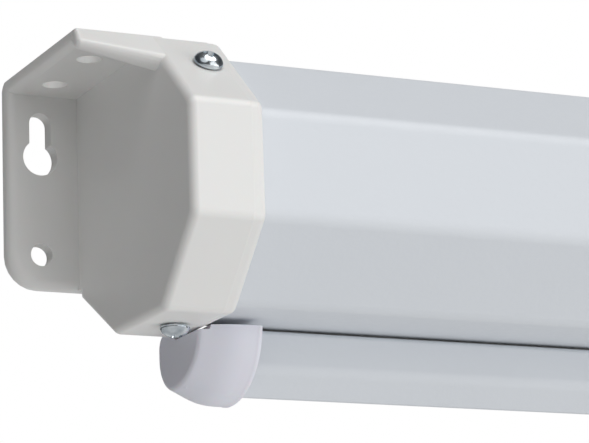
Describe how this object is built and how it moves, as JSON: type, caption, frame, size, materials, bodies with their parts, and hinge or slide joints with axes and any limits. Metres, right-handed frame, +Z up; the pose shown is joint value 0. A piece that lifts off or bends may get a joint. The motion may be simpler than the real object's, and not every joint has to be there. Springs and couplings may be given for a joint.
{
  "type": "cassette roller blind",
  "caption": "Boxed pull-down roller blind: octagonal steel case, moulded end caps with wall and ceiling brackets, spring roller, fabric and weighted bottom bar with pull handle.",
  "frame": {"origin": "wall face of the left bracket, midway between its keyhole and its round hole", "axes": "+X along the case to the right, +Y into the wall behind it, +Z up to the ceiling face"},
  "size_m": [1.3, 0.072, 0.1133],
  "materials": {
    "powder_coat": "white powder coat with a fine orange-peel texture",
    "cap_plastic": "semi-gloss warm white moulded ABS",
    "bar_plastic": "satin cool white moulded ABS",
    "zinc": "bright bluish zinc plating",
    "bare_steel": "bare drawn steel",
    "spring_steel": "oiled spring wire",
    "black_nylon": "matt black nylon",
    "blind_fabric": "matt white coated weave"
  },
  "bodies": {
    "case": {"case_shell": "powder_coat", "left_end_cap": "cap_plastic", "right_end_cap": "cap_plastic", "left_upper_screw": "zinc", "left_lower_screw": "zinc", "right_upper_screw": "zinc", "right_lower_screw": "zinc", "left_arbor_socket": "black_nylon", "right_bearing_socket": "black_nylon", "spring_arbor": "bare_steel", "ratchet_wheel": "bare_steel", "torsion_spring": "spring_steel", "spring_anchor": "bare_steel"},
    "roller": {"roller_tube": "bare_steel", "spring_end_plug": "black_nylon", "idle_end_plug": "black_nylon", "idle_gudgeon": "bare_steel", "arbor_bushing": "black_nylon", "fabric_roll": "blind_fabric", "pawl_pin_a": "zinc", "pawl_pin_b": "zinc"},
    "pawl_a": {"pawl_a": "bare_steel"},
    "pawl_b": {"pawl_b": "bare_steel"},
    "bottom_bar": {"bar_tube": "powder_coat", "left_bar_cap": "bar_plastic", "right_bar_cap": "bar_plastic", "fabric_spline": "black_nylon", "fabric_drop": "blind_fabric", "handle_base": "bar_plastic", "handle_pin": "zinc", "handle_left_screw": "zinc", "handle_right_screw": "zinc"},
    "handle": {"handle_grip": "bar_plastic"}
  },
  "joints": [
    {"name": "bar_drop", "type": "slide", "parent": "case", "child": "bottom_bar", "axis": [0, 0, -1], "range_m": [0, 0.975], "deforming": ["fabric_drop"]},
    {"name": "roller_spin", "type": "hinge", "parent": "case", "child": "roller", "pos_m": [0.6417, -0.0417, -0.0016], "axis": [-1, 0, 0], "range_deg": [-10, 3970]},
    {"name": "pawl_a_swing", "type": "hinge", "parent": "roller", "child": "pawl_a", "pos_m": [0.025, -0.0417, 0.0104], "axis": [1, 0, 0], "range_deg": [0, 15]},
    {"name": "pawl_b_swing", "type": "hinge", "parent": "roller", "child": "pawl_b", "pos_m": [0.025, -0.0417, -0.0136], "axis": [1, 0, 0], "range_deg": [0, 15]},
    {"name": "handle_swing", "type": "hinge", "parent": "bottom_bar", "child": "handle", "pos_m": [0.6417, -0.0256, -0.0547], "axis": [1, 0, 0], "range_deg": [-80, 80]}
  ],
  "couplings": [
    {"joint": "roller_spin", "follows": "bar_drop", "rad_per_m": 70.887}
  ]
}
